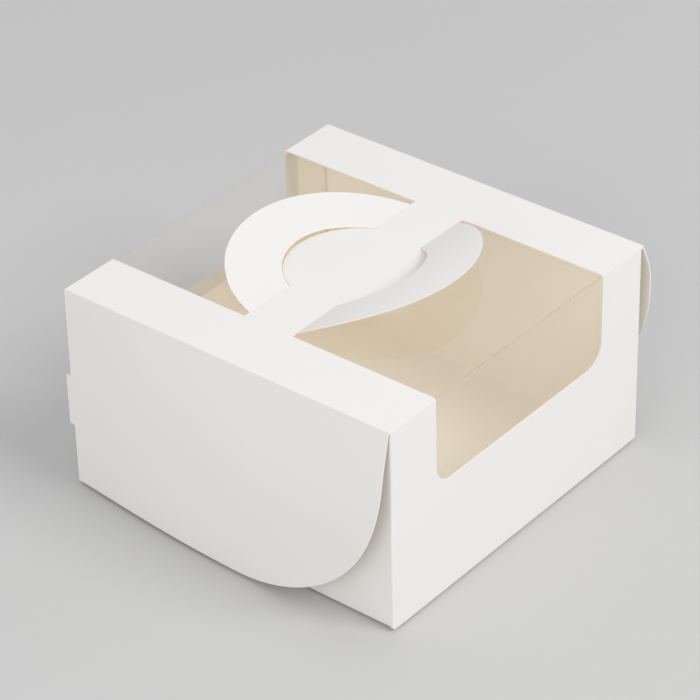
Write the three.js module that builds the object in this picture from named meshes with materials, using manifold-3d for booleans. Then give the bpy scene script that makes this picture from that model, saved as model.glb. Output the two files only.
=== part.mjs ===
// Small square cake box of white board, with a wrap-round film window and a lift-up handle.
// Millimetres, +Z up. X runs from side flap to side flap, Y from the front panel to the back
// panel, and the origin is the middle of the underside.

import * as THREE from 'three';
import { mergeVertices } from 'three/addons/utils/BufferGeometryUtils.js';
import Module from 'manifold-3d';

const wasm = await Module();
wasm.setup();

// The closed box, over its folds
const BOX_WIDTH = 140;
const BOX_DEPTH = 140;
const BOX_HEIGHT = 80;

// Board, film and clearances
const CARD = 0.5;
const FILM = 0.2;
const FOLD_INSIDE_RADIUS = 0.5;
const CLEARANCE = 0.3;

// Window, cut from the front panel over the top to the back panel
const WINDOW_WIDTH = 92;
const WINDOW_CORNER_RADIUS = 8;
const FRONT_SILL_HEIGHT = 45;
const BACK_SILL_HEIGHT = 48.5;
const FILM_LAP = 6;

// Handle: a disc cut across the middle of the top, with a smaller disc left flat inside it. Each
// half stands up from its fold by an angle, and bends up or down along its length.
const HANDLE_RADIUS = 44.5;
const TONGUE_RADIUS = 24.8;
const BRIDGE_WIDTH = 20.4;
const BACK_HANDLE_FOLD_DEG = 6.5;
const BACK_HANDLE_BEND_RADIUS = 330;
const FRONT_HANDLE_FOLD_DEG = 26.5;
const FRONT_HANDLE_BEND_RADIUS = -130;

// Side flaps that hang from the top, each bowed away from the box at its front end
const SIDE_FLAP_LENGTH = 79.1;
const SIDE_FLAP_TRIM = 0.4;
const SIDE_CORNER_WIDTH = 61;
const SIDE_CORNER_HEIGHT = 58.5;
const EAR_HEIGHT = 20.4;
const EAR_FOOT = 24.2;
const EAR_REACH = 2.3;
const EAR_RADIUS = 0.8;
const LEFT_BOW = 6.6;
const LEFT_BOW_DROP = 45;
const RIGHT_BOW = 5.7;
const RIGHT_BOW_DROP = 17;
const BOW_RUN = 88;

// Dust flaps, folded from the front and back panels
const DUST_LENGTH = 20;
const DUST_TAPER_WIDTH = 10;
const DUST_TAPER_HEIGHT = 8;
const DUST_BEND_INSET = 1.5;
const DUST_BEND_HEIGHT = 15;
const DUST_SHOULDER_HEIGHT = 32;

// Side walls, folded up from the bottom, and the glued lap inside the front panel
const WALL_END_CLEARANCE = 0.8;
const WALL_TOP_CLEARANCE = 1.2;
const WALL_CORNER = 4;
const LAP_HEIGHT = 12;
const LAP_CORNER = 6;
const LAP_END_CLEARANCE = 4;

// Facets on a round edge: a fold, a window corner, a large disc and the bowed sheet
const FOLD_FACETS = 5;
const CORNER_FACETS = 10;
const DISC_FACETS = 40;
const BEND_FACETS = 10;
const SHEET_COLUMNS = 22;
const SHEET_ROWS = 16;

// Values that follow from the sizes above
const HALF_WIDTH = BOX_WIDTH / 2;
const HALF_DEPTH = BOX_DEPTH / 2;
const HALF_WINDOW = WINDOW_WIDTH / 2;
const HALF_BRIDGE = BRIDGE_WIDTH / 2;
const FOLD_RADIUS = FOLD_INSIDE_RADIUS + CARD;
const HINGE_X = HALF_WIDTH - CARD / 2;
const HINGE_Z = BOX_HEIGHT - CARD / 2;
const HINGE_CLEARANCE = CARD / 2 + CLEARANCE;
const DUST_FACE = HALF_WIDTH - CARD - CLEARANCE;
const WALL_FACE = DUST_FACE - CARD - CLEARANCE;
const FILM_FACE = HALF_DEPTH - CARD - CLEARANCE;
const FILM_TOP = BOX_HEIGHT - CARD - CLEARANCE;
const CUT = 1;

const board = { color: 0xefeeea, roughness: 0.62, metalness: 0 };
const clearFilm = {
  color: 0xf4f6f6,
  roughness: 0.08,
  metalness: 0,
  transparent: true,
  opacity: 0.25,
};

const ALONG_X = new THREE.Matrix4().makeBasis(
  new THREE.Vector3(0, 1, 0),
  new THREE.Vector3(0, 0, 1),
  new THREE.Vector3(1, 0, 0),
);
const ALONG_Y = new THREE.Matrix4().makeBasis(
  new THREE.Vector3(1, 0, 0),
  new THREE.Vector3(0, 0, 1),
  new THREE.Vector3(0, -1, 0),
);

// A closed geometry as a solid that can be joined and cut
function solid(geometry) {
  const plain = geometry.clone();
  plain.deleteAttribute('normal');
  plain.deleteAttribute('uv');
  const merged = mergeVertices(plain, 1e-5);
  return new wasm.Manifold(new wasm.Mesh({
    numProp: 3,
    vertProperties: Float32Array.from(merged.attributes.position.array),
    triVerts: Uint32Array.from(merged.index.array),
  }));
}

// A joined or cut solid as a geometry again
function surface(body) {
  const mesh = body.getMesh();
  const geometry = new THREE.BufferGeometry();
  geometry.setAttribute('position', new THREE.BufferAttribute(mesh.vertProperties, 3));
  geometry.setIndex(new THREE.BufferAttribute(mesh.triVerts, 1));
  geometry.computeVertexNormals();
  return geometry;
}

function extruded(shape, depth, facets) {
  return new THREE.ExtrudeGeometry(shape, {
    depth,
    steps: 1,
    bevelEnabled: false,
    curveSegments: facets,
  });
}

// A shape drawn in X and Y, as a plate from z0 to z1
function plate(shape, z0, z1, facets) {
  return extruded(shape, z1 - z0, facets).translate(0, 0, z0);
}

// A shape drawn in Y and Z, run along X from x0 to x1
function runAlongX(shape, x0, x1, facets) {
  return extruded(shape, x1 - x0, facets).applyMatrix4(ALONG_X).translate(x0, 0, 0);
}

// A shape drawn in X and Z, run along Y from y0 to y1
function runAlongY(shape, y0, y1, facets) {
  return extruded(shape, y1 - y0, facets).applyMatrix4(ALONG_Y).translate(0, y1, 0);
}

function block(x0, y0, z0, x1, y1, z1) {
  const box = new THREE.BoxGeometry(x1 - x0, y1 - y0, z1 - z0);
  return solid(box.translate((x0 + x1) / 2, (y0 + y1) / 2, (z0 + z1) / 2));
}

// The geometry reflected in X, in Y or in both, with its faces still pointing out
function reflected(geometry, signX, signY) {
  const copy = geometry.clone().scale(signX, signY, 1);
  if (signX * signY > 0) {
    return copy;
  }
  const loose = copy.index ? copy.toNonIndexed() : copy;
  const position = loose.attributes.position;
  for (let i = 0; i < position.count; i += 3) {
    const first = new THREE.Vector3().fromBufferAttribute(position, i);
    const last = new THREE.Vector3().fromBufferAttribute(position, i + 2);
    position.setXYZ(i, last.x, last.y, last.z);
    position.setXYZ(i + 2, first.x, first.y, first.z);
  }
  return loose;
}

function roundedRectangle(Path, x0, y0, x1, y1, radius) {
  const path = new Path();
  path.moveTo(x0 + radius, y0);
  path.lineTo(x1 - radius, y0);
  path.absarc(x1 - radius, y0 + radius, radius, -Math.PI / 2, 0, false);
  path.lineTo(x1, y1 - radius);
  path.absarc(x1 - radius, y1 - radius, radius, 0, Math.PI / 2, false);
  path.lineTo(x0 + radius, y1);
  path.absarc(x0 + radius, y1 - radius, radius, Math.PI / 2, Math.PI, false);
  path.lineTo(x0, y0 + radius);
  path.absarc(x0 + radius, y0 + radius, radius, Math.PI, 1.5 * Math.PI, false);
  path.closePath();
  return path;
}

// Bottom, back, top and front panels, folded round as one closed loop
function sleeve() {
  const loop = roundedRectangle(THREE.Shape, -HALF_DEPTH, 0, HALF_DEPTH, BOX_HEIGHT, FOLD_RADIUS);
  loop.holes.push(roundedRectangle(
    THREE.Path,
    -HALF_DEPTH + CARD,
    CARD,
    HALF_DEPTH - CARD,
    BOX_HEIGHT - CARD,
    FOLD_INSIDE_RADIUS,
  ));
  let body = solid(runAlongX(loop, -HINGE_X, HINGE_X, FOLD_FACETS));
  for (const side of [-1, 1]) {
    const panelEnd = side * (DUST_FACE - FOLD_RADIUS);
    const bottomEnd = side * (WALL_FACE - FOLD_RADIUS);
    const beyond = side * (HALF_WIDTH + CUT);
    body = body.subtract(block(
      Math.min(panelEnd, beyond),
      -HALF_DEPTH - CUT,
      -CUT,
      Math.max(panelEnd, beyond),
      HALF_DEPTH + CUT,
      BOX_HEIGHT - FOLD_RADIUS,
    ));
    body = body.subtract(block(
      Math.min(bottomEnd, beyond),
      -HALF_DEPTH + FOLD_RADIUS,
      -CUT,
      Math.max(bottomEnd, beyond),
      HALF_DEPTH - FOLD_RADIUS,
      FOLD_RADIUS,
    ));
  }
  return body;
}

// The opening in a front or back panel, with rounded lower corners, open upwards over the fold
function panelWindow(sill, y0, y1) {
  const shape = new THREE.Shape();
  const radius = WINDOW_CORNER_RADIUS;
  shape.moveTo(-HALF_WINDOW, BOX_HEIGHT + CUT);
  shape.lineTo(-HALF_WINDOW, sill + radius);
  shape.absarc(-HALF_WINDOW + radius, sill + radius, radius, Math.PI, 1.5 * Math.PI, false);
  shape.lineTo(HALF_WINDOW - radius, sill);
  shape.absarc(HALF_WINDOW - radius, sill + radius, radius, -Math.PI / 2, 0, false);
  shape.lineTo(HALF_WINDOW, BOX_HEIGHT + CUT);
  shape.closePath();
  return solid(runAlongY(shape, y0, y1, CORNER_FACETS));
}

function windowOpening() {
  const foldEnd = HALF_DEPTH - FOLD_RADIUS;
  return block(-HALF_WINDOW, -foldEnd, BOX_HEIGHT - FOLD_RADIUS, HALF_WINDOW, foldEnd, BOX_HEIGHT + CUT)
    .add(panelWindow(FRONT_SILL_HEIGHT, -HALF_DEPTH - CUT, -foldEnd))
    .add(panelWindow(BACK_SILL_HEIGHT, foldEnd, HALF_DEPTH + CUT));
}

// The bar across the window and the disc on it that stays flat under the handle
function bridgeAndTongue() {
  const disc = new THREE.Shape().absarc(0, 0, TONGUE_RADIUS, 0, 2 * Math.PI, false);
  const bar = block(
    -HALF_WINDOW - CUT,
    -HALF_BRIDGE,
    BOX_HEIGHT - CARD,
    HALF_WINDOW + CUT,
    HALF_BRIDGE,
    BOX_HEIGHT,
  );
  return bar.add(solid(plate(disc, BOX_HEIGHT - CARD, BOX_HEIGHT, 2 * DISC_FACETS)));
}

// Outline of the front left dust flap in Y and Z: a tapered foot that curves up into the free end
function dustOutline() {
  const foldY = -HALF_DEPTH;
  const endY = -HALF_DEPTH + DUST_LENGTH;
  const foot = FOLD_RADIUS;
  const head = BOX_HEIGHT - FOLD_RADIUS - CLEARANCE;
  const taperY = foldY + DUST_TAPER_WIDTH;
  const bendY = endY - DUST_BEND_INSET;
  const shape = new THREE.Shape();
  shape.moveTo(foldY, foot);
  shape.lineTo(foldY + FOLD_RADIUS, foot);
  shape.lineTo(taperY, DUST_TAPER_HEIGHT);
  shape.quadraticCurveTo(bendY, DUST_BEND_HEIGHT, endY, DUST_SHOULDER_HEIGHT);
  shape.lineTo(endY, head + foot - DUST_SHOULDER_HEIGHT);
  shape.quadraticCurveTo(
    bendY,
    head + foot - DUST_BEND_HEIGHT,
    taperY,
    head + foot - DUST_TAPER_HEIGHT,
  );
  shape.lineTo(foldY + FOLD_RADIUS, head);
  shape.lineTo(foldY, head);
  shape.closePath();
  return shape;
}

// The front left dust flap with its fold, drawn in plan and cut to its outline
function dustFlap() {
  const foldX = -DUST_FACE + FOLD_RADIUS;
  const foldY = -HALF_DEPTH + FOLD_RADIUS;
  const endY = -HALF_DEPTH + DUST_LENGTH;
  const plan = new THREE.Shape();
  plan.moveTo(foldX + CUT, -HALF_DEPTH);
  plan.lineTo(foldX + CUT, -HALF_DEPTH + CARD);
  plan.lineTo(foldX, -HALF_DEPTH + CARD);
  plan.absarc(foldX, foldY, FOLD_INSIDE_RADIUS, 1.5 * Math.PI, Math.PI, true);
  plan.lineTo(-DUST_FACE + CARD, endY);
  plan.lineTo(-DUST_FACE, endY);
  plan.lineTo(-DUST_FACE, foldY);
  plan.absarc(foldX, foldY, FOLD_RADIUS, Math.PI, 1.5 * Math.PI, false);
  plan.closePath();
  const bent = solid(plate(plan, FOLD_RADIUS, BOX_HEIGHT - FOLD_RADIUS - CLEARANCE, FOLD_FACETS));
  const outline = solid(runAlongX(dustOutline(), -HALF_WIDTH, foldX + 2 * CUT, CORNER_FACETS));
  return surface(bent.intersect(outline));
}

// The left side wall with its fold, drawn in X and Z, and its outline in Y and Z
function sideWall() {
  const foldX = -WALL_FACE + FOLD_RADIUS;
  const head = BOX_HEIGHT - CARD - WALL_TOP_CLEARANCE;
  const end = HALF_DEPTH - CARD - WALL_END_CLEARANCE;
  const section = new THREE.Shape();
  section.moveTo(foldX + CUT, 0);
  section.lineTo(foldX + CUT, CARD);
  section.lineTo(foldX, CARD);
  section.absarc(foldX, FOLD_RADIUS, FOLD_INSIDE_RADIUS, 1.5 * Math.PI, Math.PI, true);
  section.lineTo(-WALL_FACE + CARD, head);
  section.lineTo(-WALL_FACE, head);
  section.lineTo(-WALL_FACE, FOLD_RADIUS);
  section.absarc(foldX, FOLD_RADIUS, FOLD_RADIUS, Math.PI, 1.5 * Math.PI, false);
  section.closePath();
  const outline = new THREE.Shape();
  outline.moveTo(-end, 0);
  outline.lineTo(end, 0);
  outline.lineTo(end, head - WALL_CORNER);
  outline.lineTo(end - WALL_CORNER, head);
  outline.lineTo(-end + WALL_CORNER, head);
  outline.lineTo(-end, head - WALL_CORNER);
  outline.closePath();
  const bent = solid(runAlongY(section, -end, end, FOLD_FACETS));
  const cutter = solid(runAlongX(outline, -HALF_WIDTH, foldX + 2 * CUT, 1));
  return surface(bent.intersect(cutter));
}

// The lap of the bottom panel that is glued up inside the front panel
function gluedLap() {
  const end = WALL_FACE - FOLD_RADIUS - LAP_END_CLEARANCE;
  const shape = new THREE.Shape();
  shape.moveTo(-end, CARD / 2);
  shape.lineTo(end, CARD / 2);
  shape.lineTo(end - LAP_CORNER, LAP_HEIGHT);
  shape.lineTo(-end + LAP_CORNER, LAP_HEIGHT);
  shape.closePath();
  return solid(runAlongY(shape, -HALF_DEPTH + CARD / 2, -HALF_DEPTH + 2 * CARD, 1));
}

// The whole folded board, apart from the flaps that open
function carton() {
  let body = sleeve().subtract(windowOpening()).add(bridgeAndTongue()).add(gluedLap());
  const dust = dustFlap();
  const wall = sideWall();
  for (const signX of [1, -1]) {
    body = body.add(solid(reflected(wall, signX, 1)));
    for (const signY of [1, -1]) {
      body = body.add(solid(reflected(dust, signX, signY)));
    }
  }
  return surface(body);
}

// The film, one strip creased along the front and back edges of the top
function windowFilm() {
  const outer = FOLD_RADIUS - FILM;
  const inner = outer - FILM;
  const creaseY = FILM_FACE - outer;
  const creaseZ = FILM_TOP - outer;
  const front = FRONT_SILL_HEIGHT - FILM_LAP;
  const back = BACK_SILL_HEIGHT - FILM_LAP;
  const shape = new THREE.Shape();
  shape.moveTo(-FILM_FACE, front);
  shape.lineTo(-FILM_FACE + FILM, front);
  shape.lineTo(-FILM_FACE + FILM, creaseZ);
  shape.absarc(-creaseY, creaseZ, inner, Math.PI, Math.PI / 2, true);
  shape.lineTo(creaseY, FILM_TOP - FILM);
  shape.absarc(creaseY, creaseZ, inner, Math.PI / 2, 0, true);
  shape.lineTo(FILM_FACE - FILM, back);
  shape.lineTo(FILM_FACE, back);
  shape.lineTo(FILM_FACE, creaseZ);
  shape.absarc(creaseY, creaseZ, outer, 0, Math.PI / 2, false);
  shape.lineTo(-creaseY, FILM_TOP);
  shape.absarc(-creaseY, creaseZ, outer, Math.PI / 2, Math.PI, false);
  shape.closePath();
  const reach = HALF_WINDOW + FILM_LAP;
  return surface(solid(runAlongX(shape, -reach, reach, FOLD_FACETS)));
}

// The middle of the bent board at a length along it from its fold, and its angle there
function alongBend(length, foldAngle, bendRadius) {
  const angle = foldAngle + length / bendRadius;
  return {
    reach: bendRadius * (Math.sin(angle) - Math.sin(foldAngle)),
    rise: bendRadius * (Math.cos(foldAngle) - Math.cos(angle)),
    angle,
  };
}

// One half of the handle, with its fold line on the X axis and its ring towards +Y: a bent strip
// of board, cut to the ring by a cutter that follows the same bend in plan
function handleFlap(foldAngle, bendRadius) {
  const holeRadius = TONGUE_RADIUS + CLEARANCE;
  const longest = HANDLE_RADIUS - HALF_BRIDGE + CUT;
  const upper = [];
  const lower = [];
  for (let i = 0; i <= BEND_FACETS; i += 1) {
    const length = HINGE_CLEARANCE + (longest - HINGE_CLEARANCE) * i / BEND_FACETS;
    const { reach, rise, angle } = alongBend(length, foldAngle, bendRadius);
    const offY = Math.sin(angle) * CARD / 2;
    const offZ = Math.cos(angle) * CARD / 2;
    upper.push(new THREE.Vector2(reach - offY, rise + offZ));
    lower.unshift(new THREE.Vector2(reach + offY, rise - offZ));
  }
  const strip = new THREE.Shape([...upper, ...lower]);

  const planPoint = (radius, turn) => {
    const length = radius * Math.sin(turn) - HALF_BRIDGE;
    const { reach } = alongBend(length, foldAngle, bendRadius);
    return new THREE.Vector2(radius * Math.cos(turn), reach);
  };
  const rimStart = Math.asin((HALF_BRIDGE - CUT) / HANDLE_RADIUS);
  const holeStart = Math.asin((HALF_BRIDGE - CUT) / holeRadius);
  const ring = [];
  for (let i = 0; i <= DISC_FACETS; i += 1) {
    ring.push(planPoint(HANDLE_RADIUS, rimStart + (Math.PI - 2 * rimStart) * i / DISC_FACETS));
  }
  for (let i = DISC_FACETS; i >= 0; i -= 1) {
    ring.push(planPoint(holeRadius, holeStart + (Math.PI - 2 * holeStart) * i / DISC_FACETS));
  }
  const cutter = plate(new THREE.Shape(ring), -longest, longest, 1);
  const sheet = runAlongX(strip, -HANDLE_RADIUS - CUT, HANDLE_RADIUS + CUT, 1);
  return surface(solid(sheet).intersect(solid(cutter)));
}

// Outline of a side flap in Y and Z: square behind with a small ear, and an elliptical front corner
function sideFlapOutline() {
  const end = HALF_DEPTH - SIDE_FLAP_TRIM;
  const foot = HINGE_Z - SIDE_FLAP_LENGTH;
  const head = HINGE_Z - HINGE_CLEARANCE;
  const earTop = EAR_FOOT + EAR_HEIGHT;
  const earEnd = end + EAR_REACH;
  const shape = new THREE.Shape();
  shape.moveTo(-end, head);
  shape.lineTo(-end, foot + SIDE_CORNER_HEIGHT);
  shape.absellipse(
    -end + SIDE_CORNER_WIDTH,
    foot + SIDE_CORNER_HEIGHT,
    SIDE_CORNER_WIDTH,
    SIDE_CORNER_HEIGHT,
    Math.PI,
    1.5 * Math.PI,
    false,
    0,
  );
  shape.lineTo(end, foot);
  shape.lineTo(end, EAR_FOOT);
  shape.lineTo(earEnd - EAR_RADIUS, EAR_FOOT);
  shape.absarc(earEnd - EAR_RADIUS, EAR_FOOT + EAR_RADIUS, EAR_RADIUS, -Math.PI / 2, 0, false);
  shape.lineTo(earEnd, earTop - EAR_RADIUS);
  shape.absarc(earEnd - EAR_RADIUS, earTop - EAR_RADIUS, EAR_RADIUS, 0, Math.PI / 2, false);
  shape.lineTo(end, earTop);
  shape.lineTo(end, head);
  shape.closePath();
  return shape;
}

// How far a side flap stands off the box: nothing at its fold and rear edge, most in front
function bowAt(y, z, bow, drop) {
  const along = THREE.MathUtils.clamp((HALF_DEPTH - y) / BOW_RUN, 0, 1);
  const down = THREE.MathUtils.clamp((HINGE_Z - z) / drop, 0, 1);
  return bow * Math.sin(along * Math.PI / 2) * Math.sin(down * Math.PI / 2);
}

// A side flap as a thin sheet bent to its bow, then cut to its outline
function sideFlap(side, bow, drop) {
  const rear = HALF_DEPTH + EAR_REACH + CUT;
  const front = -HALF_DEPTH - CUT;
  const depth = rear - front;
  const sheet = new THREE.BoxGeometry(CARD, depth, BOX_HEIGHT + CUT, 1, SHEET_COLUMNS, SHEET_ROWS);
  sheet.translate(side * HINGE_X, (front + rear) / 2, (BOX_HEIGHT - CUT) / 2);
  const position = sheet.attributes.position;
  for (let i = 0; i < position.count; i += 1) {
    const stand = bowAt(position.getY(i), position.getZ(i), bow, drop);
    position.setX(i, position.getX(i) + side * stand);
  }
  const reach = HALF_WIDTH + bow + CUT;
  const near = HALF_WIDTH - CARD - CUT;
  const cutter = solid(runAlongX(
    sideFlapOutline(),
    Math.min(side * near, side * reach),
    Math.max(side * near, side * reach),
    DISC_FACETS,
  ));
  return surface(solid(sheet).intersect(cutter));
}

function part(name, geometry, finish) {
  const mesh = new THREE.Mesh(geometry, new THREE.MeshStandardMaterial(finish));
  mesh.name = name;
  return mesh;
}

const box = new THREE.Group();
box.add(part('carton', carton(), board));
box.add(part('window_film', windowFilm(), clearFilm));
box.add(part('left_side_flap', sideFlap(-1, LEFT_BOW, LEFT_BOW_DROP), board));
box.add(part('right_side_flap', sideFlap(1, RIGHT_BOW, RIGHT_BOW_DROP), board));

// Each half of the handle turns about its own edge of the bridge
const backFoldAngle = THREE.MathUtils.degToRad(BACK_HANDLE_FOLD_DEG);
const backHandle = part('back_handle_flap', handleFlap(backFoldAngle, BACK_HANDLE_BEND_RADIUS), board);
backHandle.position.set(0, HALF_BRIDGE, HINGE_Z);
box.add(backHandle);

const frontFoldAngle = THREE.MathUtils.degToRad(FRONT_HANDLE_FOLD_DEG);
const frontHandle = part('front_handle_flap', handleFlap(frontFoldAngle, FRONT_HANDLE_BEND_RADIUS), board);
frontHandle.position.set(0, -HALF_BRIDGE, HINGE_Z);
frontHandle.rotation.z = Math.PI;
box.add(frontHandle);

export default box;
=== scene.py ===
"""Looks for a small white board cake box with a film window and a lift-up handle.

Metres, +Z up. X runs from side flap to side flap and Y from the front panel to the back panel.
"""

import math

import bmesh
import bpy
from mathutils import Matrix, Vector
from mathutils.bvhtree import BVHTree


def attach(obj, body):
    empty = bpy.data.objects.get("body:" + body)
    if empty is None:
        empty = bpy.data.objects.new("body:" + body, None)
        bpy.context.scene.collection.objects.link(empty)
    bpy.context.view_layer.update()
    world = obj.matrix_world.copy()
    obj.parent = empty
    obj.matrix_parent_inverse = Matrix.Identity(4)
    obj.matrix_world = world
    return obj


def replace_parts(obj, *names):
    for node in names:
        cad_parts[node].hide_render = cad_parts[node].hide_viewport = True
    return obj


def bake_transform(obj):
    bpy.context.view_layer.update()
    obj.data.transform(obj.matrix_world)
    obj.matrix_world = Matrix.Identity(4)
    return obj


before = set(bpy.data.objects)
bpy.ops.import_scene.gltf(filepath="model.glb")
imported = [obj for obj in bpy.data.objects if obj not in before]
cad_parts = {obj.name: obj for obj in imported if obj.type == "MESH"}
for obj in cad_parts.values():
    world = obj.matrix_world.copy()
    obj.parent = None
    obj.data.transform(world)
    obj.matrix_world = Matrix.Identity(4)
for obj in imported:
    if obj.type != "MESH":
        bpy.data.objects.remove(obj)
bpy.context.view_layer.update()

MM = 0.001

# The box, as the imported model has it
BOX_WIDTH = 140 * MM
BOX_DEPTH = 140 * MM
BOX_HEIGHT = 80 * MM
CARD = 0.5 * MM
CLEARANCE = 0.3 * MM
FOLD_RADIUS = 1.0 * MM
SIDE_FLAP_TRIM = 0.4 * MM
HALF_WINDOW = 46 * MM
FRONT_SILL = 45 * MM
BACK_SILL = 48.5 * MM
BRIDGE_EDGE = 10.2 * MM
HANDLE_RADIUS = 44.5 * MM
TONGUE_RADIUS = 24.8 * MM
BACK_HANDLE_SLOPE = math.radians(6.5)
FRONT_HANDLE_SLOPE = math.radians(26.5)

# How far each side flap stands out at its front end, and over what drop and run
LEFT_BOW = (6.6 * MM, 45 * MM)
RIGHT_BOW = (5.7 * MM, 17 * MM)
BOW_RUN = 88 * MM

# Values that follow from the sizes above
HALF_DEPTH = BOX_DEPTH / 2
BOX_MIDDLE = Vector((0, 0, BOX_HEIGHT / 2))
HINGE_X = BOX_WIDTH / 2 - CARD / 2
HINGE_Z = BOX_HEIGHT - CARD / 2
FLAP_START = CARD / 2 + CLEARANCE
HANDLE_HOLE_RADIUS = TONGUE_RADIUS + CLEARANCE
FILM_FACE = HALF_DEPTH - CARD - CLEARANCE
FILM_TOP = BOX_HEIGHT - CARD - CLEARANCE

# Bands along folds, in full this near to the fold and not at all this far from it: the board's painted
# shade at the front and back folds of the top, and the film's crease line
BOARD_FOLD_SHADE = (0.45 * MM, 1.1 * MM)
FILM_CREASE = (0.10 * MM, 0.34 * MM)

# The share of the film that shows: its gloss seen square on, its haze, and the line of a crease, which is
# painted shade at the front and a pale line at the back
SQUARE_ON_GLOSS = 0.04
HAZE = 0.003
BACK_HAZE = 0.015
BACK_STREAKS = 0.07
FRONT_CREASE_PAINTED_SHADE = 0.30
BACK_CREASE_LINE = 0.14
BACK_PANEL_MARGIN = 0.5 * MM

# Painted glow: the cream side gives off a fixed light of its own, standing in for the light that comes
# through the board. It is more in the closed box, which is lit from all round, than on a flap that hangs
# open
BOX_PAINTED_GLOW = (0.100, 0.091, 0.075)
FLAP_PAINTED_GLOW = (0.040, 0.036, 0.030)

# Telling the faces of a board solid apart: more material than this under a face is a cut edge
THICKEST_WALL = 1.6 * MM
RAY_START = 0.001 * MM
MERGE_WITHIN = 0.002 * MM
OUTSIDE, INSIDE, CUT_EDGE = 0, 1, 2

# Shading across folds: faces that meet more sharply than this keep an edge between them, and a
# face counts for at least this many square metres
SHARPEST_FOLD = math.radians(40)
SMALLEST_AREA = 1e-9

# Strips of card at the folds: their cuts lengthwise and across, and the shortest edge that counts as
# running along an axis. Each is cut from a cube of side 1.
SIDE_FOLD_CUTS = (43, 7)
HANDLE_FOLD_CUTS = (15, 5)
SHORTEST_EDGE = 1e-6

# The floor is a little below the box, whose round creases leave a thin dark gap about its foot
FLOOR_DROP = 0.6 * MM
FLOOR_REACH = 6.0
SURROUNDINGS = (0.68, 0.68, 0.685, 1)

# A Mix node's sockets for colours
MIX_SHARE, MIX_FIRST, MIX_SECOND = 0, 6, 7
MIX_COLOUR = 2


def between(first, second, share):
    """What lies that share of the way from the first to the second: numbers or finish values."""
    return first + (second - first) * share


class Value:
    """A socket of a finish. Arithmetic on a number's socket adds the Math nodes."""

    def __init__(self, finish, socket):
        self.finish = finish
        self.socket = socket

    def _math(self, operation, *terms):
        return self.finish.add("ShaderNodeMath", {"operation": operation}, dict(enumerate(terms)))

    def __add__(self, other):
        return self._math("ADD", self, other)

    def __radd__(self, other):
        return self._math("ADD", other, self)

    def __sub__(self, other):
        return self._math("SUBTRACT", self, other)

    def __rsub__(self, other):
        return self._math("SUBTRACT", other, self)

    def __mul__(self, other):
        return self._math("MULTIPLY", self, other)

    def __rmul__(self, other):
        return self._math("MULTIPLY", other, self)

    def __truediv__(self, other):
        return self._math("DIVIDE", self, other)

    def __rtruediv__(self, other):
        return self._math("DIVIDE", other, self)

    def __pow__(self, other):
        return self._math("POWER", self, other)

    def __rpow__(self, other):
        return self._math("POWER", other, self)

    def __lt__(self, other):
        return self._math("LESS_THAN", self, other)

    def __gt__(self, other):
        return self._math("GREATER_THAN", self, other)

    def __abs__(self):
        return self._math("ABSOLUTE", self)


def rgba(colour):
    """A plain colour with its alpha. A finish value stays as it is."""
    return (*colour, 1) if isinstance(colour, tuple) else colour


class Finish:
    """A node material. Every node in it comes from add()."""

    def __init__(self, name):
        self.material = bpy.data.materials.new(name)
        self.material.use_nodes = True
        self.tree = self.material.node_tree
        self.tree.nodes.clear()

    def add(self, kind, settings=None, sockets=None, out=0):
        """Makes a node: its settings first, then its sockets. Gives the chosen output."""
        node = self.tree.nodes.new(kind)
        for key, value in (settings or {}).items():
            setattr(node, key, value)
        for key, value in (sockets or {}).items():
            if isinstance(value, Value):
                self.tree.links.new(value.socket, node.inputs[key])
            else:
                node.inputs[key].default_value = value
        return Value(self, node.outputs[out]) if node.outputs else None

    def place(self):
        """Where a point is on the object, in metres."""
        return self.add("ShaderNodeTexCoord", out="Object")

    def axes(self):
        """The same place as three numbers."""
        split = self.add("ShaderNodeSeparateXYZ", sockets={"Vector": self.place()})
        return [Value(self, socket) for socket in split.socket.node.outputs]

    def fade(self, value, start, end):
        """A number that goes smoothly from 1 to 0 as value goes from start to end."""
        return self.add(
            "ShaderNodeMapRange",
            {"interpolation_type": "SMOOTHSTEP"},
            {"Value": value, "From Min": start, "From Max": end, "To Min": 1.0, "To Max": 0.0},
        )

    def grain(self, scale, detail=2.0, roughness=0.5, stretch=(1, 1, 1)):
        """Noise with that many lumps to the metre, drawn out along an axis by stretch."""
        where = self.add("ShaderNodeMapping", sockets={"Vector": self.place(), "Scale": stretch})
        return self.add(
            "ShaderNodeTexNoise",
            sockets={"Vector": where, "Scale": scale, "Detail": detail, "Roughness": roughness},
            out="Fac",
        )

    def blend(self, share, first, second):
        """A colour that goes from the first to the second as share goes from 0 to 1."""
        return self.add(
            "ShaderNodeMix",
            {"data_type": "RGBA"},
            {MIX_SHARE: share, MIX_FIRST: rgba(first), MIX_SECOND: rgba(second)},
            out=MIX_COLOUR,
        )

    def relief(self, height, distance, under=None):
        """A bump of that distance in metres, on top of another one if there is one under it."""
        sockets = {"Height": height, "Distance": distance}
        if under is not None:
            sockets["Normal"] = under
        return self.add("ShaderNodeBump", sockets=sockets)

    def finished(self, shader):
        """The material, once its shader is on it."""
        self.add("ShaderNodeOutputMaterial", sockets={"Surface": shader})
        return self.material


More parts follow.
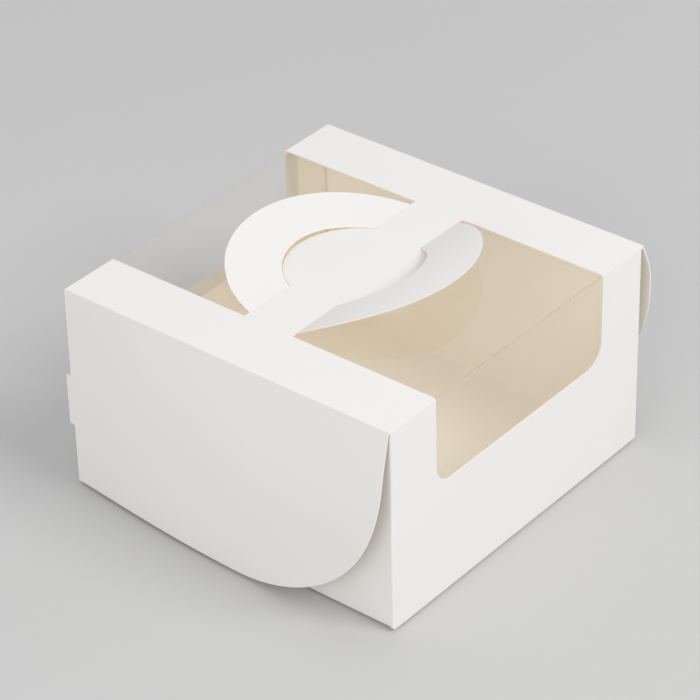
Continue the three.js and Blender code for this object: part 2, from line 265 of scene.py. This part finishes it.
def coated_white():
    """The outside of the board: white clay coating, satin, with the faint waves of a flat sheet.
    Along the creases at the front and back of the top it is painted darker: painted shade that dims the
    highlight the lamps put on those rounded folds."""
    finish = Finish("coated_white")
    cloud = finish.grain(28, 2)
    speck = finish.grain(2600, 1)
    colour = finish.blend(cloud, (0.812, 0.794, 0.778), (0.826, 0.810, 0.794))
    colour = finish.blend(speck * 0.10, colour, (0.75, 0.735, 0.71))
    y, z = finish.axes()[1:]
    off_fold = HALF_DEPTH + BOX_HEIGHT - (abs(y) + z)
    # Painted shade along the front and back folds of the top, which dims their highlight
    fold_painted_shade = finish.fade(off_fold, *BOARD_FOLD_SHADE)
    colour = finish.blend(fold_painted_shade * 0.9, colour, (0.70, 0.683, 0.668))
    sheet = finish.relief(finish.grain(22, 1), 0.3 * MM)
    skin = finish.relief(speck, 0.004 * MM, under=sheet)
    return finish.finished(finish.add("ShaderNodeBsdfPrincipled", sockets={
        "Base Color": colour,
        "Roughness": 0.44 + 0.12 * finish.grain(160, 3),
        "Specular IOR Level": 0.25,
        "Normal": skin,
    }))


def cream_reverse(name, painted_glow):
    """The inside of the board: bare cream pulp with short fibres, and a painted glow, a fixed light it
    gives off that stands in for the light that comes through the thin board from its other side."""
    finish = Finish(name)
    cloud = finish.grain(60, 4, 0.6)
    fibre = finish.grain(1500, 3, 0.6, stretch=(0.25, 1, 1))
    colour = finish.blend(cloud, (0.898, 0.848, 0.752), (0.918, 0.872, 0.785))
    colour = finish.blend(fibre * 0.12, colour, (0.78, 0.70, 0.57))
    return finish.finished(finish.add("ShaderNodeBsdfPrincipled", sockets={
        "Base Color": colour,
        "Roughness": 0.72 + 0.14 * fibre,
        "Specular IOR Level": 0.22,
        # Painted glow: a fixed light from the cream side, in place of light through the board
        "Emission Color": rgba(painted_glow),
        "Emission Strength": 1.0,
        "Normal": finish.relief(fibre, 0.02 * MM),
    }))


def cut_board():
    """The die-cut edge of the board: pale pulp between its two skins."""
    finish = Finish("cut_board")
    fibre = finish.grain(4200, 2, 0.6)
    colour = finish.blend(fibre, (0.80, 0.745, 0.660), (0.875, 0.835, 0.770))
    return finish.finished(finish.add("ShaderNodeBsdfPrincipled", sockets={
        "Base Color": colour,
        "Roughness": 0.86,
        "Specular IOR Level": 0.15,
        "Normal": finish.relief(fibre, 0.03 * MM),
    }))


def clear_film():
    """Clear film: what is behind it, under the gloss that it mirrors. It has a thin line along each
    crease, brown painted shade at the front and pale at the back, and a faint streaky haze on the back
    panel, and where it is glued to the board beside a window it does not show."""
    finish = Finish("clear_film")
    x, y, z = finish.axes()
    at_back = y > 0
    in_window = (abs(x) < HALF_WINDOW) * (z > between(FRONT_SILL, BACK_SILL, at_back))
    off_crease = abs(z - abs(y) - (FILM_TOP - FILM_FACE))
    crease = finish.fade(off_crease, *FILM_CREASE)
    ripple = finish.relief(finish.grain(14, 1, stretch=(1, 0.35, 0.35)), 1.2 * MM)
    facing = finish.add("ShaderNodeLayerWeight", sockets={"Blend": 0.5, "Normal": ripple}, out="Facing")
    gloss = between(SQUARE_ON_GLOSS, 1, facing**5)
    streak = finish.grain(55, 3, stretch=(1, 1, 0.12))
    on_back_panel = y > FILM_FACE - BACK_PANEL_MARGIN
    haze = HAZE + on_back_panel * (BACK_HAZE + BACK_STREAKS * streak)
    # The line along each crease: painted shade at the front, a pale line at the back
    line = crease * between(FRONT_CREASE_PAINTED_SHADE, BACK_CREASE_LINE, at_back)
    shown = gloss + haze + line
    # Brown on the front crease: painted shade
    colour = finish.blend(crease * (1 - at_back), (0.92, 0.92, 0.92), (0.46, 0.34, 0.22))
    surface = finish.add("ShaderNodeBsdfPrincipled", sockets={
        "Base Color": colour,
        "Metallic": gloss / shown,
        "Roughness": 0.05 + 0.05 * streak,
        "Normal": ripple,
    })
    clear = finish.add("ShaderNodeBsdfTransparent", sockets={"Color": (0.993, 0.993, 0.993, 1)})
    return finish.finished(
        finish.add("ShaderNodeMixShader", sockets={0: shown * in_window, 1: clear, 2: surface})
    )


def studio_floor():
    """Plain pale grey paper."""
    finish = Finish("studio_floor")
    colour = finish.blend(finish.grain(3, 1), (0.556, 0.557, 0.558), (0.577, 0.577, 0.575))
    return finish.finished(finish.add("ShaderNodeBsdfPrincipled", sockets={
        "Base Color": colour,
        "Roughness": 0.7,
        "Specular IOR Level": 0.2,
    }))


# The finishes of board are in the order OUTSIDE, INSIDE, CUT_EDGE
WHITE, EDGE = coated_white(), cut_board()
BOX_FINISHES = [WHITE, cream_reverse("cream_inside", BOX_PAINTED_GLOW), EDGE]
FLAP_FINISHES = [WHITE, cream_reverse("cream_flap", FLAP_PAINTED_GLOW), EDGE]
FILM_FINISHES = [clear_film()]


def soften_folds(mesh):
    """Shades a fold as one curve: each corner's normal is the mean of the faces that run into
    it, by area, so that flat panels stay flat and cut edges stay crisp."""
    mesh.polygons.foreach_set("use_smooth", [True] * len(mesh.polygons))
    around = [[] for _ in mesh.vertices]
    faces = [(polygon.normal.copy(), polygon.area) for polygon in mesh.polygons]
    for polygon in mesh.polygons:
        for vertex in polygon.vertices:
            around[vertex].append(polygon.index)
    least = math.cos(SHARPEST_FOLD)
    normals = []
    for polygon in mesh.polygons:
        own = faces[polygon.index][0]
        for vertex in polygon.vertices:
            total = own * SMALLEST_AREA
            for other in around[vertex]:
                normal, area = faces[other]
                if normal.dot(own) > least:
                    total = total + normal * area
            normals.append(total.normalized())
    mesh.normals_split_custom_set(normals)


def as_piece(name, bm, finishes):
    """A finished mesh as an object at the origin, with its materials."""
    mesh = bpy.data.meshes.new(name)
    bm.to_mesh(mesh)
    bm.free()
    for material in finishes:
        mesh.materials.append(material)
    soften_folds(mesh)
    piece = bpy.data.objects.new(name, mesh)
    bpy.context.scene.collection.objects.link(piece)
    return piece


def merged_copy(node):
    """A CAD node's triangles, joined at their corners."""
    bm = bmesh.new()
    bm.from_mesh(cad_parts[node].data)
    bmesh.ops.remove_doubles(bm, verts=bm.verts, dist=MERGE_WITHIN)
    bm.normal_update()
    return bm


def thickness_under(tree, face):
    """How far it is through the material from a face's middle."""
    inward = -face.normal
    distance = tree.ray_cast(face.calc_center_median() + inward * RAY_START, inward)[3]
    return math.inf if distance is None else distance


def board_piece(name, node, finishes):
    """A CAD board solid, with its white outside, its cream inside and its bare cut edges."""
    bm = merged_copy(node)
    tree = BVHTree.FromBMesh(bm)
    for face in bm.faces:
        if thickness_under(tree, face) > THICKEST_WALL:
            face.material_index = CUT_EDGE
        elif face.normal.dot(face.calc_center_median() - BOX_MIDDLE) > 0:
            face.material_index = OUTSIDE
        else:
            face.material_index = INSIDE
    piece = as_piece(name, bm, finishes)
    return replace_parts(piece, node)


def film_piece():
    """The film strip, creased along the front and back edges of the top."""
    piece = as_piece("window_film_sheet", merged_copy("window_film"), FILM_FINISHES)
    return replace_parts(piece, "window_film")


def runs_along(edge, axis):
    """Whether an edge of the unit cube goes along that axis."""
    first, second = (vertex.co[axis] for vertex in edge.verts)
    return abs(second - first) > SHORTEST_EDGE


def card_strip(cuts, place):
    """A bent strip of card, cut lengthwise and across. place() gives a point from its share
    along the strip, its share across the fold, and 0 at the inside or 1 at the outside of the
    card."""
    bm = bmesh.new()
    bmesh.ops.create_cube(bm, size=1.0)
    for axis, count in enumerate(cuts):
        edges = [edge for edge in bm.edges if runs_along(edge, axis)]
        bmesh.ops.subdivide_edges(bm, edges=edges, cuts=count, use_grid_fill=True)
    for face in bm.faces:
        heights = [vertex.co.z for vertex in face.verts]
        if min(heights) > 0:
            face.material_index = OUTSIDE
        elif max(heights) < 0:
            face.material_index = INSIDE
        else:
            face.material_index = CUT_EDGE
    for vertex in bm.verts:
        share = vertex.co + Vector((0.5, 0.5, 0.5))
        vertex.co = place(share.x, share.y, share.z)
    bmesh.ops.recalc_face_normals(bm, faces=bm.faces)
    return bm


def side_fold(name, side, bow):
    """The fold between the top and a side flap, as a strip of card bent round from the top to the flap.
    Down the fold it widens from the straight part of the top to the flap, and meets the flap's own bow."""
    reach, drop = bow

    def place(along, down, outward):
        y = between(-1, 1, along) * between(HALF_DEPTH - FOLD_RADIUS, HALF_DEPTH - SIDE_FLAP_TRIM, down)
        run = min(max((HALF_DEPTH - y) / BOW_RUN, 0), 1)
        fall = FLAP_START / drop
        stand = reach * math.sin(run * math.pi / 2) * math.sin(fall * math.pi / 2)
        turn = down * math.pi / 2
        outer = Vector((
            HINGE_X + (CARD / 2 + stand) * math.sin(turn),
            HINGE_Z - FLAP_START + (FLAP_START + CARD / 2) * math.cos(turn),
        ))
        inner = Vector((
            between(HINGE_X, HINGE_X - CARD / 2 + stand, down),
            between(HINGE_Z - CARD / 2, HINGE_Z - FLAP_START, down),
        ))
        at = inner.lerp(outer, outward)
        return Vector((side * at.x, y, at.y))

    piece = as_piece(name, card_strip(SIDE_FOLD_CUTS, place), FLAP_FINISHES)
    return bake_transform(piece)


def handle_fold(name, side, slope):
    """The two short folds that carry one half of the handle on the bridge, one at each end."""

    def place(along, over, upward):
        flat = BRIDGE_EDGE + FLAP_START * over
        hole = math.sqrt(HANDLE_HOLE_RADIUS**2 - flat**2)
        rim = math.sqrt(HANDLE_RADIUS**2 - flat**2)
        angle = slope * over
        mean = angle / 2
        rise = between(-CARD / 2, CARD / 2, upward)
        y = BRIDGE_EDGE + FLAP_START * over * math.cos(mean) - math.sin(angle) * rise
        z = HINGE_Z + FLAP_START * over * math.sin(mean) + math.cos(angle) * rise
        return Vector((between(hole, rim, along), side * y, z))

    bm = card_strip(HANDLE_FOLD_CUTS, place)
    copied = bmesh.ops.duplicate(bm, geom=[*bm.verts, *bm.edges, *bm.faces])
    other_end = [item for item in copied["geom"] if isinstance(item, bmesh.types.BMVert)]
    bmesh.ops.scale(bm, vec=(-1, 1, 1), verts=other_end)
    bmesh.ops.recalc_face_normals(bm, faces=bm.faces)
    piece = as_piece(name, bm, FLAP_FINISHES)
    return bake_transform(piece)


def softbox(name, place, size, power, colour):
    """A square-cornered soft lamp, aimed at the box."""
    data = bpy.data.lights.new(name, "AREA")
    data.shape = "RECTANGLE"
    data.size, data.size_y = size
    data.energy = power
    data.color = colour
    lamp = bpy.data.objects.new(name, data)
    lamp.location = place
    lamp.rotation_euler = (BOX_MIDDLE - Vector(place)).to_track_quat("-Z", "Y").to_euler()
    bpy.context.scene.collection.objects.link(lamp)


def studio():
    """The floor, the soft lamps and the plain surroundings."""
    bm = bmesh.new()
    bmesh.ops.create_grid(bm, x_segments=1, y_segments=1, size=FLOOR_REACH)
    bmesh.ops.translate(bm, verts=bm.verts, vec=(0, 0, -FLOOR_DROP))
    mesh = bpy.data.meshes.new("studio_floor")
    bm.to_mesh(mesh)
    bm.free()
    mesh.materials.append(studio_floor())
    floor = bpy.data.objects.new("studio_floor", mesh)
    bpy.context.scene.collection.objects.link(floor)

    softbox("key", place=(0.20, -1.35, 1.35), size=(0.8, 0.8), power=16.2, colour=(1.0, 0.995, 0.985))
    softbox("side_fill", place=(-1.5, -0.35, 0.75), size=(1.6, 1.2), power=8.2, colour=(1.0, 0.985, 0.965))

    world = bpy.data.worlds.new("surroundings")
    world.use_nodes = True
    world.node_tree.nodes["Background"].inputs["Color"].default_value = SURROUNDINGS
    bpy.context.scene.world = world


def photo_camera():
    """The camera as it stood for the photograph."""
    azimuth, elevation, roll = (math.radians(a) for a in (-50.24, 33.61, -1.43))
    target = Vector((0.51, 3.81, 44.25)) * MM
    distance = 1.1211
    back = Vector((
        math.sin(azimuth) * math.cos(elevation),
        -math.cos(azimuth) * math.cos(elevation),
        math.sin(elevation),
    ))
    level = Vector((0, 0, 1)).cross(back).normalized()
    above = back.cross(level)
    right = level * math.cos(roll) + above * math.sin(roll)
    up = above * math.cos(roll) - level * math.sin(roll)
    data = bpy.data.cameras.new("photo_camera")
    data.sensor_width = 36.0
    data.lens = 166.76
    data.clip_start, data.clip_end = 0.05, 30
    camera = bpy.data.objects.new("photo_camera", data)
    camera.matrix_world = Matrix((right, up, back)).transposed().to_4x4()
    camera.location = target + back * distance
    bpy.context.scene.collection.objects.link(camera)
    bpy.context.scene.camera = camera


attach(board_piece("carton_board", "carton", BOX_FINISHES), "box")
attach(film_piece(), "box")
for flap in ("left_side_flap", "right_side_flap", "back_handle_flap", "front_handle_flap"):
    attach(board_piece(flap + "_board", flap, FLAP_FINISHES), flap)

side_fold("left_side_fold_card", -1, LEFT_BOW)
side_fold("right_side_fold_card", 1, RIGHT_BOW)
handle_fold("back_handle_fold_card", 1, BACK_HANDLE_SLOPE)
handle_fold("front_handle_fold_card", -1, FRONT_HANDLE_SLOPE)

studio()
photo_camera()

bpy.context.scene.view_settings.view_transform = "Standard"
